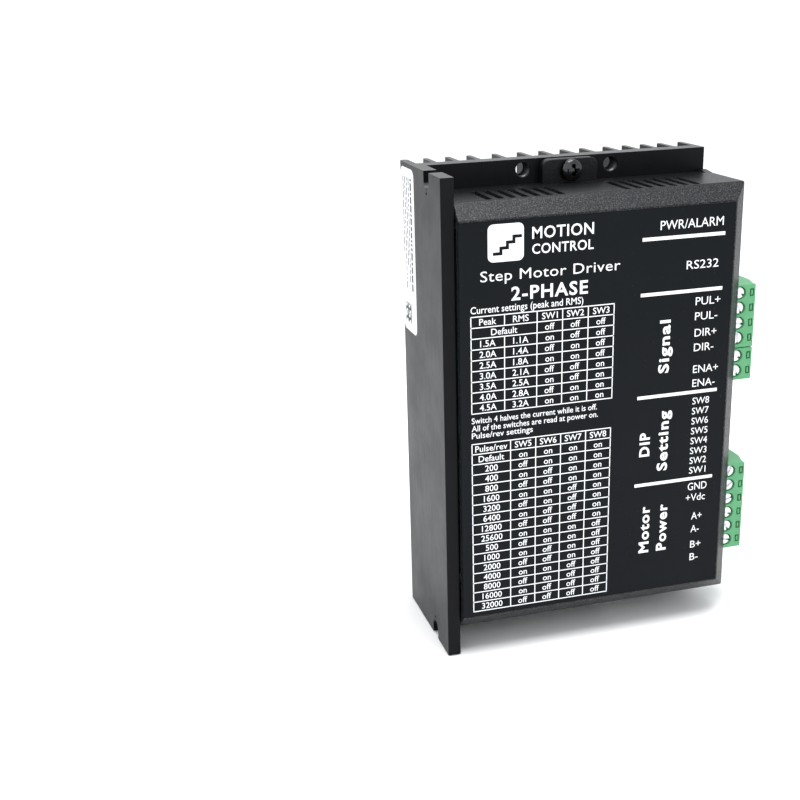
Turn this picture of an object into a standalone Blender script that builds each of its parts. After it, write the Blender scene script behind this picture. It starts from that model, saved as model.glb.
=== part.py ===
"""Stepper driver module: finned heat sink, snap-over front cover, circuit board,
pluggable screw terminals, switch bank and serial jack.

Dimensions are written in millimetres in the case's own coordinates and turned into
metres by MM: x from the side wall's outer face to the connector side, y from the side
wall's front edge back to the fin tips, z from the bottom end to the top end.  The empty
module_frame moves all of it so that the origin is under the middle of the module.
"""
from math import cos, pi, sin, sqrt

import bmesh
import bpy

MM = 0.001
GAP = 0.3                       # air between two pieces that touch
PAST = 1.0                      # cutters run this far past the faces that they open

# ---- case ------------------------------------------------------------------------
HEIGHT = 118.0
WIDTH = 75.5
DEPTH = 34.0
WALL_T = 3.2                    # side wall of the heat sink
WALL_CHAMFER = 0.4
PLATE_FRONT = 21.5              # face that the power stage sits against
PLATE_BACK = 26.0
TAIL_T = 2.0                    # side wall behind the plate
FIN_T = 1.3
FIN_FIRST = 5.9
FIN_PITCHES = (5.6, 5.5, 6.6, 6.6, 5.7, 5.7, 5.3, 6.4, 5.3, 5.0, 4.8)
FIN_TIP_STEPS = 4

NOTCH_W = 4.2                   # open slots for the mounting screws
NOTCH_Y = 11.0
NOTCH_DEPTH = 4.2
PLATE_HOLE_R = 1.9
PLATE_HOLE_X = (27.3, 50.1)
PLATE_HOLE_END = 2.5            # from the plate's end to the hole's centre
TAPPED_SKIN = 0.8               # plate left behind each cover screw's hole

# ---- front cover -----------------------------------------------------------------
COVER_LEFT = WALL_T + GAP
COVER_RIGHT = 75.95
COVER_LOW = 6.4
COVER_TOP = 112.15
COVER_FRONT = -1.5
COVER_REAR = PLATE_FRONT - GAP
COVER_T = 1.8
COVER_CHAMFER = 3.8
LABEL_RECESS = 0.6
LABEL_T = 0.2
LABEL_FACE = COVER_FRONT + 0.08
TAB_X = 38.45
TAB_W = 14.3
TAB_T = 2.5
TAB_R = 2.0
TAB_END = 0.2                   # tab stops this far short of the heat sink's end
TAB_SCREW_END = 2.9             # from the heat sink's end to the screw's centre
SCREW_HOLE_R = 1.7
VENT_W = 1.5
VENT_PITCH = 2.93
VENT_COUNT = 7
VENT_GROUPS = (21.1, 55.1)      # middle of each group along x
VENT_Y = (2.6, 14.8)

COVER_SCREW_HEAD_R = 2.6
COVER_SCREW_HEAD_T = 1.9
COVER_SCREW_LEN = 5.6
CROSS_W = 0.9
CROSS_LEN = 3.4
CROSS_DEPTH = 1.3

SIDE_LABEL_POCKET = 0.6
SIDE_LABEL_FACE = 0.08
SIDE_LABEL_Y = (22.0, 33.0)
SIDE_LABEL_Z = (76.6, 116.6)

# ---- circuit board and what stands on it ---------------------------------------------
BOARD_FRONT = 14.1
BOARD_BACK = 15.7
BOARD_X = (5.0, 73.2)
BOARD_Z = (9.6, 109.2)
ON_BOARD = BOARD_FRONT - GAP
BEHIND_BOARD = BOARD_BACK + GAP
POST_R = 2.6
POST_PIN_R = 1.3
POST_HOLE_R = 1.6
POST_X = (9.0, 59.0)
POST_Z = (13.6, 105.2)
POST_HEAD_R = 1.9
POST_HEAD_T = 1.2
POST_HEAD_EDGE = 0.4
POST_STUD = 2.4

CAPACITOR_R = 6.2
CAPACITOR_LEN = 26.0
CAPACITOR_X = 9.5
CAPACITOR_Y = 7.4
CAPACITOR_Z = (20.8, 34.4)
CAN_ROUND = 0.6                 # step of the can's rounded ends and crimp groove
CAN_GROOVE = (22.6, 24.4)       # along the can, from its first end

STAGE_Y = (BEHIND_BOARD, 20.6)  # power stages, between the board and the thermal pad
CHIPS = {
    "processor_chip": ((30.0, ON_BOARD - 1.5, 66.0), (42.0, ON_BOARD, 78.0)),
    "phase_a_power_stage": ((14.0, STAGE_Y[0], 64.0), (46.0, STAGE_Y[1], 84.0)),
    "phase_b_power_stage": ((14.0, STAGE_Y[0], 32.0), (46.0, STAGE_Y[1], 52.0)),
}
THERMAL_PAD = ((12.0, STAGE_Y[1] + GAP, 29.0), (48.0, PLATE_FRONT - GAP, 87.0))

# ---- pluggable terminals -------------------------------------------------------------
PITCH = 3.81
PLUGS = {"signal": (4, 84.75), "enable": (2, 68.75), "power": (6, 38.05)}
HEADER_X = (64.6, 73.3)
HEADER_Y = (4.8, ON_BOARD)
HEADER_END = 2.15               # past the end pins
HEADER_WALL = 0.8
HEADER_BACK = 1.2
PIN_W = 1.0
PIN_Y = 9.3
PIN_END = 72.3
PLUG_HEAD_X = 73.7
PLUG_FACE_X = 80.9              # tower with the screws
PLUG_WIRE_X = 82.0              # wire side, further out
PLUG_Y = (2.6, 13.7)
PLUG_STEP_Y = (4.1, 7.6)
PLUG_TOP_END = 1.9
PLUG_LOW_END = 2.3
NOSE_TIP = 66.1
NOSE_Y = (6.1, 12.5)
NOSE_END = 1.25
CONTACT_HOLE_W = 1.7
CONTACT_HOLE_END = 73.0
SCREW_X = 76.6
SCREW_R = 1.45
SCREW_FACE = 2.85
SCREW_HEAD_T = 1.6
SCREW_CHAMFER = 0.15
SHANK_R = 0.85
SHANK_END = 9.0
SLOT_W = 0.5
SLOT_DEPTH = 0.75
SCREW_RECESS_R = 1.65
CHAMBER_X = (74.5, 79.1)
CHAMBER_Y = (4.75, 13.0)
CHAMBER_W = 3.1
WIRE_HOLE_Y = (7.9, 12.2)
WIRE_HOLE_W = 2.6
TEST_SLOT_X = (79.4, 80.25)
TEST_SLOT_W = 1.8
TEST_SLOT_DEPTH = 0.9
CLAMP_X = (74.85, 78.35)
CLAMP_Y = (8.0, 12.6)
CLAMP_W = 2.8
CLAMP_BAR = 0.95                # bar that the screw passes through
CLAMP_WALL = 0.4

# ---- switch bank, jack and lamps -----------------------------------------------------
SWITCH_COUNT = 8
SWITCH_PITCH = 2.54
SWITCH_Z = (40.7, 62.0)
SWITCH_X = (66.9, 73.0)
SWITCH_Y = (3.9, ON_BOARD)
TRACK_Y = 8.85
TRACK_LEN = 3.6
TRACK_W = 1.3
TRACK_DEPTH = 1.6
SLIDER_LEN = 1.5
SLIDER_W = 1.0
SLIDER_PROUD = 0.5
SLIDER_CLEAR = 0.15

JACK_X = (60.6, 75.1)
JACK_Y = (2.6, ON_BOARD)
JACK_Z = (88.6, 100.8)
SOCKET_W = 9.9
SOCKET_Y = (4.0, 10.6)
SOCKET_DEPTH = 11.0
LATCH_W = 6.2
LATCH_KEY_W = 3.4
LATCH_Y = (11.6, 12.7)

LAMP_R = 1.5
LAMP_Y = 8.0
LAMP_Z = {"alarm_lamp": 103.6, "power_lamp": 107.0}
LAMP_TIP = 75.0
LAMP_SEAT = 68.5                # where the lens goes into its base
LAMP_BASE = (64.0, 69.5)
LAMP_BASE_Y = 5.8
LAMP_BASE_W = 3.1
LAMP_HOLE_R = 1.8

WINDOW_Y = (2.45, 14.3)
SWITCH_WINDOW_Y = (5.4, 12.3)
WINDOW_CLEAR = 0.4
SWITCH_WINDOW_LAP = 0.9         # cover left over each end of the switch bank

# ---- material colours: base colour, roughness, metallic ------------------------------
MATERIALS = {
    "anodised_aluminium": ((0.055, 0.056, 0.06), 0.42, 0.7),
    "cover_plastic": ((0.03, 0.03, 0.032), 0.6, 0.0),
    "label_film": ((0.012, 0.013, 0.015), 0.35, 0.0),
    "paper_label": ((0.82, 0.82, 0.83), 0.6, 0.0),
    "black_steel": ((0.02, 0.02, 0.021), 0.25, 0.8),
    "board_laminate": ((0.02, 0.13, 0.06), 0.4, 0.0),
    "green_polyamide": ((0.09, 0.42, 0.2), 0.5, 0.0),
    "zinc_steel": ((0.78, 0.79, 0.8), 0.25, 1.0),
    "black_plastic": ((0.02, 0.02, 0.022), 0.45, 0.0),
    "switch_plastic": ((0.55, 0.03, 0.03), 0.4, 0.0),
    "white_plastic": ((0.85, 0.85, 0.82), 0.4, 0.0),
    "green_lens": ((0.15, 0.6, 0.15), 0.15, 0.0),
    "red_lens": ((0.7, 0.05, 0.04), 0.15, 0.0),
    "capacitor_sleeve": ((0.015, 0.03, 0.07), 0.35, 0.0),
    "chip_epoxy": ((0.02, 0.02, 0.02), 0.55, 0.0),
    "silicone_pad": ((0.45, 0.47, 0.5), 0.7, 0.0),
    "nylon": ((0.75, 0.74, 0.68), 0.5, 0.0),
}

# Index of the two outline axes and of the extrusion axis
PLANES = {"x": (1, 2, 0), "y": (0, 2, 1), "z": (0, 1, 2)}


# ---- shape helpers -------------------------------------------------------------------
def clear_scene():
    for obj in list(bpy.data.objects):
        bpy.data.objects.remove(obj, do_unlink=True)


def make_materials():
    for name, (colour, roughness, metallic) in MATERIALS.items():
        material = bpy.data.materials.new(name)
        material.use_nodes = True
        shader = material.node_tree.nodes["Principled BSDF"]
        shader.inputs["Base Color"].default_value = (*colour, 1.0)
        shader.inputs["Roughness"].default_value = roughness
        shader.inputs["Metallic"].default_value = metallic
        material.diffuse_color = (*colour, 1.0)


def to_object(name, bm):
    bmesh.ops.recalc_face_normals(bm, faces=bm.faces)
    mesh = bpy.data.meshes.new(name)
    bm.to_mesh(mesh)
    bm.free()
    obj = bpy.data.objects.new(name, mesh)
    bpy.context.collection.objects.link(obj)
    return obj


def at(axis, u_value, v_value, w_value):
    u, v, w = PLANES[axis]
    point = [0.0, 0.0, 0.0]
    point[u] = u_value * MM
    point[v] = v_value * MM
    point[w] = w_value * MM
    return point


def prism(axis, outline, start, stop, name="solid"):
    """Outline in the plane across axis, extruded from start to stop."""
    bm = bmesh.new()
    ring = [bm.verts.new(at(axis, u, v, start)) for u, v in outline]
    face = bm.faces.new(ring)
    grown = bmesh.ops.extrude_face_region(bm, geom=[face])
    moved = [item for item in grown["geom"] if isinstance(item, bmesh.types.BMVert)]
    bmesh.ops.translate(bm, verts=moved, vec=at(axis, 0, 0, stop - start))
    return to_object(name, bm)


def block(low, high, name="solid"):
    outline = rectangle(low[0], low[1], high[0], high[1])
    return prism("z", outline, low[2], high[2], name)


def rectangle(u0, v0, u1, v1):
    return [(u0, v0), (u1, v0), (u1, v1), (u0, v1)]


def arc(u, v, radius, first, last, steps):
    """Points from angle first to angle last, in half turns."""
    angles = [pi * (first + (last - first) * i / steps) for i in range(steps + 1)]
    return [(u + radius * cos(a), v + radius * sin(a)) for a in angles]


def circle(u, v, radius, count=24):
    return arc(u, v, radius, 0.0, 2.0, count)[:-1]


def turned(axis, centre, profile, segments=24, name="solid"):
    """Round solid about axis: profile is (radius, position along axis)."""
    bm = bmesh.new()
    rings = []
    for radius, position in profile:
        points = circle(centre[0], centre[1], radius, segments)
        rings.append([bm.verts.new(at(axis, u, v, position)) for u, v in points])
    for near, far in zip(rings, rings[1:]):
        for i in range(segments):
            j = (i + 1) % segments
            bm.faces.new((near[i], near[j], far[j], far[i]))
    bm.faces.new(rings[0])
    bm.faces.new(rings[-1])
    return to_object(name, bm)


def boolean(obj, tool, operation):
    modifier = obj.modifiers.new("boolean", "BOOLEAN")
    modifier.operation = operation
    modifier.solver = "EXACT"
    modifier.object = tool
    view = bpy.context.evaluated_depsgraph_get()
    mesh = bpy.data.meshes.new_from_object(obj.evaluated_get(view))
    obj.modifiers.clear()
    obj.data = mesh
    bpy.data.objects.remove(tool, do_unlink=True)


def cut(obj, tool):
    boolean(obj, tool, "DIFFERENCE")


def join(obj, tool):
    boolean(obj, tool, "UNION")


def finish(obj, name, material, frame, origin=(0.0, 0.0, 0.0), smooth=False):
    """Name the piece, put its origin at a point of the case and parent it."""
    obj.name = name
    obj.data.name = name
    shift = [-value * MM for value in origin]
    for vertex in obj.data.vertices:
        vertex.co.x += shift[0]
        vertex.co.y += shift[1]
        vertex.co.z += shift[2]
    obj.location = [value * MM for value in origin]
    obj.parent = frame
    obj.data.materials.clear()
    obj.data.materials.append(bpy.data.materials[material])
    if smooth:
        obj.data.shade_smooth()
        obj.data.set_sharp_from_angle(angle=pi / 6)
    return obj


# ---- heat sink -------------------------------------------------------------------
def fin_outline(left, right):
    """Rear end of a fin with a round tip, from its right side to its left side."""
    radius = (right - left) / 2
    middle = (left + right) / 2
    tip = arc(middle, DEPTH - radius, radius, 0.0, 1.0, FIN_TIP_STEPS)
    return [(right, PLATE_BACK)] + tip + [(left, PLATE_BACK)]


def heat_sink_outline():
    lefts = [FIN_FIRST]
    for pitch in FIN_PITCHES:
        lefts.append(lefts[-1] + pitch)
    points = [(WALL_CHAMFER, 0.0), (WALL_T - WALL_CHAMFER, 0.0), (WALL_T, WALL_CHAMFER)]
    points += [(WALL_T, PLATE_FRONT), (WIDTH, PLATE_FRONT)]
    points += fin_outline(WIDTH - FIN_T, WIDTH)[1:]
    for left in reversed(lefts):
        points += fin_outline(left, left + FIN_T)
    points += fin_outline(0.0, TAIL_T)[:-1]
    points += [(0.0, WALL_CHAMFER)]
    return points


def notch_outline(end, inward):
    """Open slot from one end of the side wall, with a round inner end."""
    radius = NOTCH_W / 2
    crown = end + inward * (NOTCH_DEPTH - radius)
    outside = end - inward * PAST
    left, right = NOTCH_Y - radius, NOTCH_Y + radius
    half = arc(NOTCH_Y, crown, radius, 0.0, inward * 1.0, 8)
    return [(right, outside)] + half + [(left, outside)]


def make_heat_sink(frame):
    sink = prism("z", heat_sink_outline(), 0.0, HEIGHT)
    for end, inward in ((0.0, 1), (HEIGHT, -1)):
        cut(sink, prism("x", notch_outline(end, inward), -PAST, WALL_T + PAST))
        for x in PLATE_HOLE_X:
            z = end + inward * PLATE_HOLE_END
            hole = circle(x, z, PLATE_HOLE_R)
            cut(sink, prism("y", hole, PLATE_FRONT - PAST, PLATE_BACK + PAST))
        hole = circle(TAB_X, end + inward * TAB_SCREW_END, SCREW_HOLE_R)
        cut(sink, prism("y", hole, PLATE_FRONT - PAST, PLATE_BACK - TAPPED_SKIN))
    for x in POST_X:
        for z in POST_Z:
            hole = circle(x, z, POST_HOLE_R, 16)
            cut(sink, prism("y", hole, PLATE_FRONT - PAST, PLATE_FRONT + POST_STUD + GAP))
    low, high = side_label_box()
    pocket = rectangle(low[1] - GAP, low[2] - GAP, high[1] + GAP, high[2] + GAP)
    cut(sink, prism("x", pocket, -PAST, SIDE_LABEL_POCKET))
    finish(sink, "heat_sink", "anodised_aluminium", frame)


# ---- labels ------------------------------------------------------------------------
def side_label_box():
    low = (SIDE_LABEL_FACE, SIDE_LABEL_Y[0], SIDE_LABEL_Z[0])
    high = (SIDE_LABEL_FACE + LABEL_T, SIDE_LABEL_Y[1], SIDE_LABEL_Z[1])
    return low, high


def face_field():
    """Flat field of the cover's face that the face label fills: x and z limits."""
    inner = COVER_CHAMFER + GAP
    return COVER_LEFT, COVER_RIGHT - inner, COVER_LOW + inner, COVER_TOP - inner


def make_labels(frame):
    left, right, low, top = face_field()
    field = rectangle(left + GAP, low + GAP, right - GAP, top - GAP)
    face = prism("y", field, LABEL_FACE, LABEL_FACE + LABEL_T)
    finish(face, "face_label", "label_film", frame)
    finish(block(*side_label_box()), "side_label", "paper_label", frame)


# ---- front cover ---------------------------------------------------------------------
def cover_shell(inset):
    """Outer block of the cover at inset 0; with the wall's thickness as inset, its cavity.

    The cavity also runs out through the open left side and rear.  The chamfer shrinks so
    that the wall is as thick there as elsewhere."""
    past = PAST if inset else 0.0
    left, right = COVER_LEFT - past, COVER_RIGHT - inset
    low, top = COVER_LOW + inset, COVER_TOP - inset
    front, rear = COVER_FRONT + inset, COVER_REAR + past
    chamfer = COVER_CHAMFER - inset * (2 - sqrt(2))
    rings = [
        (front, left, right - chamfer, low + chamfer, top - chamfer),
        (front + chamfer, left, right, low, top),
        (rear, left, right, low, top),
    ]
    bm = bmesh.new()
    loops = []
    for y, x0, x1, z0, z1 in rings:
        corners = rectangle(x0, z0, x1, z1)
        loops.append([bm.verts.new(at("y", x, z, y)) for x, z in corners])
    for near, far in zip(loops, loops[1:]):
        for i in range(4):
            j = (i + 1) % 4
            bm.faces.new((near[i], near[j], far[j], far[i]))
    bm.faces.new(loops[0])
    bm.faces.new(loops[-1])
    return to_object("shell", bm)


def tab_outline(end, inward):
    """Tab that stands up from the cover's end wall, with round outer corners."""
    left, right = TAB_X - TAB_W / 2, TAB_X + TAB_W / 2
    tip = end + inward * TAB_END
    root = end + inward * (HEIGHT - COVER_TOP + COVER_T)
    corner = tip + inward * TAB_R
    first = arc(right - TAB_R, corner, TAB_R, 0.0, -inward * 0.5, 4)
    second = arc(left + TAB_R, corner, TAB_R, -inward * 0.5, -inward * 1.0, 4)
    return [(right, root)] + first + second + [(left, root)]


def side_windows():
    """Openings in the cover's connector side: y and z limits."""
    windows = []
    for names in (("enable", "signal"), ("power",)):
        low_count, low_top = PLUGS[names[0]]
        low = low_top - (low_count - 1) * PITCH - PLUG_LOW_END - WINDOW_CLEAR
        top = PLUGS[names[-1]][1] + PLUG_TOP_END + WINDOW_CLEAR
        windows.append((WINDOW_Y, (low, top)))
    windows.append((WINDOW_Y, (JACK_Z[0] - WINDOW_CLEAR, JACK_Z[1] + WINDOW_CLEAR)))
    lap = SWITCH_WINDOW_LAP
    windows.append((SWITCH_WINDOW_Y, (SWITCH_Z[0] + lap, SWITCH_Z[1] - lap)))
    return windows


def make_cover(frame):
    cover = cover_shell(0)
    cut(cover, cover_shell(COVER_T))
    for end, inward in ((0.0, 1), (HEIGHT, -1)):
        join(cover, prism("y", tab_outline(end, inward), COVER_REAR - TAB_T, COVER_REAR))
        hole = circle(TAB_X, end + inward * TAB_SCREW_END, SCREW_HOLE_R)
        cut(cover, prism("y", hole, COVER_REAR - TAB_T - PAST, COVER_REAR + PAST))
        wall = COVER_LOW if inward > 0 else COVER_TOP - COVER_T
        for middle in VENT_GROUPS:
            for i in range(VENT_COUNT):
                x = middle + (i - (VENT_COUNT - 1) / 2) * VENT_PITCH
                slot = rectangle(x - VENT_W / 2, VENT_Y[0], x + VENT_W / 2, VENT_Y[1])
                cut(cover, prism("z", slot, wall - PAST, wall + COVER_T + PAST))
    for (y0, y1), (z0, z1) in side_windows():
        cut(cover, block((COVER_RIGHT - 2 * COVER_T, y0, z0), (COVER_RIGHT + PAST, y1, z1)))
    for z in LAMP_Z.values():
        hole = circle(LAMP_Y, z, LAMP_HOLE_R)
        cut(cover, prism("x", hole, COVER_RIGHT - 2 * COVER_T, COVER_RIGHT + PAST))
    left, right, low, top = face_field()
    field = rectangle(left - PAST, low, right, top)
    cut(cover, prism("y", field, COVER_FRONT - PAST, COVER_FRONT + LABEL_RECESS))
    finish(cover, "front_cover", "cover_plastic", frame)


def make_cover_screw(frame, name, z):
    """Pan-head screw with a cross recess, head towards the front."""
    seat = COVER_REAR - TAB_T - GAP
    top = seat - COVER_SCREW_HEAD_T
    radius = COVER_SCREW_HEAD_R
    profile = [(radius * 0.55, top), (radius * 0.85, top + 0.25), (radius, top + 0.9),
               (radius, seat), (SCREW_HOLE_R - GAP, seat),
               (SCREW_HOLE_R - GAP, seat + COVER_SCREW_LEN)]
    screw = turned("y", (TAB_X, z), profile)
    half, arm = CROSS_W / 2, CROSS_LEN / 2
    cross = [(TAB_X + u, z + v) for u, v in (
        (half, half), (half, arm), (-half, arm), (-half, half), (-arm, half), (-arm, -half),
        (-half, -half), (-half, -arm), (half, -arm), (half, -half), (arm, -half), (arm, half))]
    cut(screw, prism("y", cross, top - PAST, top + CROSS_DEPTH))
    finish(screw, name, "black_steel", frame, (TAB_X, seat, z), smooth=True)


# ---- circuit board and fixed components ------------------------------------------------
def make_board(frame):
    board = block((BOARD_X[0], BOARD_FRONT, BOARD_Z[0]), (BOARD_X[1], BOARD_BACK, BOARD_Z[1]))
    for x in POST_X:
        for z in POST_Z:
            hole = circle(x, z, POST_HOLE_R, 16)
            cut(board, prism("y", hole, BOARD_FRONT - PAST, BOARD_BACK + PAST))
    finish(board, "circuit_board", "board_laminate", frame)


def make_posts(frame):
    """Nylon posts: stud in the heat sink, shoulder behind the board, head in front."""
    number = 0
    for z in POST_Z:
        for x in POST_X:
            number += 1
            profile = [(POST_PIN_R, ON_BOARD - POST_HEAD_T), (POST_HEAD_R, ON_BOARD - POST_HEAD_EDGE),
                       (POST_HEAD_R, ON_BOARD), (POST_PIN_R, ON_BOARD), (POST_PIN_R, BEHIND_BOARD),
                       (POST_R, BEHIND_BOARD), (POST_R, COVER_REAR), (POST_PIN_R, COVER_REAR),
                       (POST_PIN_R, COVER_REAR + POST_STUD)]
            post = turned("y", (x, z), profile, 16)
            finish(post, f"board_post_{number}", "nylon", frame, (x, BOARD_BACK, z), smooth=True)


def make_capacitors(frame):
    """Electrolytic capacitors lying on the board, with the crimp groove near one end."""
    start, stop = CAPACITOR_X, CAPACITOR_X + CAPACITOR_LEN
    groove_start, groove_stop = (start + along for along in CAN_GROOVE)
    wide, narrow, step = CAPACITOR_R, CAPACITOR_R - CAN_ROUND, CAN_ROUND
    profile = [(narrow, start), (wide, start + step), (wide, groove_start),
               (narrow, groove_start + step), (narrow, groove_stop - step), (wide, groove_stop),
               (wide, stop - step), (narrow, stop)]
    for number, z in enumerate(CAPACITOR_Z, 1):
        can = turned("x", (CAPACITOR_Y, z), profile, 28)
        finish(can, f"bulk_capacitor_{number}", "capacitor_sleeve", frame,
               (start, CAPACITOR_Y, z), smooth=True)


def make_chips(frame):
    for name, (low, high) in CHIPS.items():
        finish(block(low, high), name, "chip_epoxy", frame)
    finish(block(*THERMAL_PAD), "thermal_pad", "silicone_pad", frame)


# ---- pluggable terminals ---------------------------------------------------------------
def pole_heights(kind):
    count, top = PLUGS[kind]
    return [top - i * PITCH for i in range(count)]


def make_header(frame, kind):
    """Shrouded pin header on the board, open towards the connector side."""
    poles = pole_heights(kind)
    low, top = poles[-1] - HEADER_END, poles[0] + HEADER_END
    (x0, x1), (y0, y1) = HEADER_X, HEADER_Y
    header = block((x0, y0, low), (x1, y1, top))
    wall = HEADER_WALL
    cut(header, block((x0 + HEADER_BACK, y0 + wall, low + wall), (x1 + PAST, y1 - wall, top - wall)))
    half = PIN_W / 2
    for z in poles:
        pin = block((x0 + HEADER_BACK / 2, PIN_Y - half, z - half), (PIN_END, PIN_Y + half, z + half))
        join(header, pin)
    finish(header, f"{kind}_header", "green_polyamide", frame)


def make_plug(frame, kind):
    """Plug housing: screw tower and wire side outside, nose inside the header."""
    poles = pole_heights(kind)
    low, top = poles[-1] - PLUG_LOW_END, poles[0] + PLUG_TOP_END
    head_outline = [(PLUG_HEAD_X, PLUG_Y[0]), (PLUG_FACE_X, PLUG_Y[0]),
                    (PLUG_FACE_X, PLUG_STEP_Y[0]), (PLUG_WIRE_X, PLUG_STEP_Y[1]),
                    (PLUG_WIRE_X, PLUG_Y[1]), (PLUG_HEAD_X, PLUG_Y[1])]
    plug = prism("z", head_outline, low, top)
    nose_low, nose_top = poles[-1] - NOSE_END, poles[0] + NOSE_END
    nose = block((NOSE_TIP, NOSE_Y[0], nose_low), (PLUG_HEAD_X + PAST, NOSE_Y[1], nose_top))
    join(plug, nose)
    for z in poles:
        half = CHAMBER_W / 2
        chamber = block((CHAMBER_X[0], CHAMBER_Y[0], z - half), (CHAMBER_X[1], CHAMBER_Y[1], z + half))
        half = WIRE_HOLE_W / 2
        join(chamber, block((CHAMBER_X[1] - PAST, WIRE_HOLE_Y[0], z - half),
                            (PLUG_WIRE_X + PAST, WIRE_HOLE_Y[1], z + half)))
        recess = circle(SCREW_X, z, SCREW_RECESS_R, 16)
        join(chamber, prism("y", recess, PLUG_Y[0] - PAST, CHAMBER_Y[0] + PAST))
        cut(plug, chamber)
        half = CONTACT_HOLE_W / 2
        cut(plug, block((NOSE_TIP - PAST, PIN_Y - half, z - half),
                        (CONTACT_HOLE_END, PIN_Y + half, z + half)))
        half = TEST_SLOT_W / 2
        cut(plug, block((TEST_SLOT_X[0], PLUG_Y[0] - PAST, z - half),
                        (TEST_SLOT_X[1], PLUG_Y[0] + TEST_SLOT_DEPTH, z + half)))
    middle = (poles[0] + poles[-1]) / 2
    finish(plug, f"{kind}_plug", "green_polyamide", frame, (PLUG_HEAD_X, PIN_Y, middle))


def make_terminal_screws(frame, kind):
    """Slotted screws, each with its own origin on its turning axis."""
    for number, z in enumerate(pole_heights(kind), 1):
        seat = SCREW_FACE + SCREW_HEAD_T
        profile = [(SCREW_R - SCREW_CHAMFER, SCREW_FACE), (SCREW_R, SCREW_FACE + SCREW_CHAMFER),
                   (SCREW_R, seat), (SHANK_R, seat), (SHANK_R, SHANK_END)]
        screw = turned("y", (SCREW_X, z), profile, 16)
        half = SLOT_W / 2
        cut(screw, block((SCREW_X - SCREW_R - PAST, SCREW_FACE - PAST, z - half),
                         (SCREW_X + SCREW_R + PAST, SCREW_FACE + SLOT_DEPTH, z + half)))
        finish(screw, f"{kind}_screw_{number}", "zinc_steel", frame,
               (SCREW_X, SCREW_FACE, z), smooth=True)


def make_clamps(frame, kind):
    """Rising cage of each pole: a square ring that the wire lies in, on the screw."""
    for number, z in enumerate(pole_heights(kind), 1):
        half = CLAMP_W / 2
        (x0, x1), (y0, y1) = CLAMP_X, CLAMP_Y
        cage = block((x0, y0, z - half), (x1, y1, z + half))
        inner = half - CLAMP_WALL
        cut(cage, block((x0 - PAST, y0 + CLAMP_BAR, z - inner),
                        (x1 + PAST, y1 - CLAMP_WALL, z + inner)))
        hole = circle(SCREW_X, z, SHANK_R + GAP / 2, 12)
        cut(cage, prism("y", hole, y0 - PAST, y0 + CLAMP_BAR + PAST))
        finish(cage, f"{kind}_clamp_{number}", "zinc_steel", frame, (SCREW_X, y0, z))


# ---- switch bank -------------------------------------------------------------------
def switch_heights():
    """Middle of each slider, switch 1 at the bottom."""
    middle = sum(SWITCH_Z) / 2
    return [middle + (i - (SWITCH_COUNT - 1) / 2) * SWITCH_PITCH for i in range(SWITCH_COUNT)]


def make_switch_bank(frame):
    (x0, x1), (y0, y1), (z0, z1) = SWITCH_X, SWITCH_Y, SWITCH_Z
    bank = block((x0, y0, z0), (x1, y1, z1))
    low, high = TRACK_Y - TRACK_LEN / 2, TRACK_Y + TRACK_LEN / 2
    for z in switch_heights():
        half = TRACK_W / 2
        cut(bank, block((x1 - TRACK_DEPTH, low, z - half), (x1 + PAST, high, z + half)))
    finish(bank, "switch_bank", "switch_plastic", frame)
    for number, z in enumerate(switch_heights(), 1):
        half = SLIDER_W / 2
        start = high - SLIDER_CLEAR
        slider = block((x1 - TRACK_DEPTH + SLIDER_CLEAR, start - SLIDER_LEN, z - half),
                       (x1 + SLIDER_PROUD, start, z + half))
        finish(slider, f"switch_slider_{number}", "white_plastic", frame,
               (x1, start - SLIDER_LEN / 2, z))


# ---- serial jack and lamps -----------------------------------------------------------
def make_serial_jack(frame):
    """Modular jack: wide socket with a stepped channel for the plug's latch."""
    (x0, x1), (y0, y1), (z0, z1) = JACK_X, JACK_Y, JACK_Z
    jack = block((x0, y0, z0), (x1, y1, z1))
    middle = (z0 + z1) / 2
    steps = [(SOCKET_W / 2, SOCKET_Y[0]), (SOCKET_W / 2, SOCKET_Y[1]), (LATCH_W / 2, SOCKET_Y[1]),
             (LATCH_W / 2, LATCH_Y[0]), (LATCH_KEY_W / 2, LATCH_Y[0]), (LATCH_KEY_W / 2, LATCH_Y[1])]
    right = [(y, middle + half) for half, y in steps]
    left = [(y, middle - half) for half, y in reversed(steps)]
    cut(jack, prism("x", right + left, x1 - SOCKET_DEPTH, x1 + PAST))
    finish(jack, "serial_jack", "black_plastic", frame)


def make_lamps(frame):
    """Round-nosed lamps in their square base, behind two holes in the cover."""
    for name, z in LAMP_Z.items():
        nose = arc(LAMP_TIP - LAMP_R, 0.0, LAMP_R, 0.5, 0.1, 5)
        profile = [(LAMP_R, LAMP_SEAT)] + [(v, u) for u, v in nose]
        lamp = turned("x", (LAMP_Y, z), profile, 20)
        half = LAMP_BASE_W / 2
        base = block((LAMP_BASE[0], LAMP_BASE_Y, z - half), (LAMP_BASE[1], ON_BOARD, z + half))
        join(lamp, base)
        lens = "green_lens" if name == "power_lamp" else "red_lens"
        finish(lamp, name, lens, frame, (LAMP_BASE[1], LAMP_Y, z), smooth=True)


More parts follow.
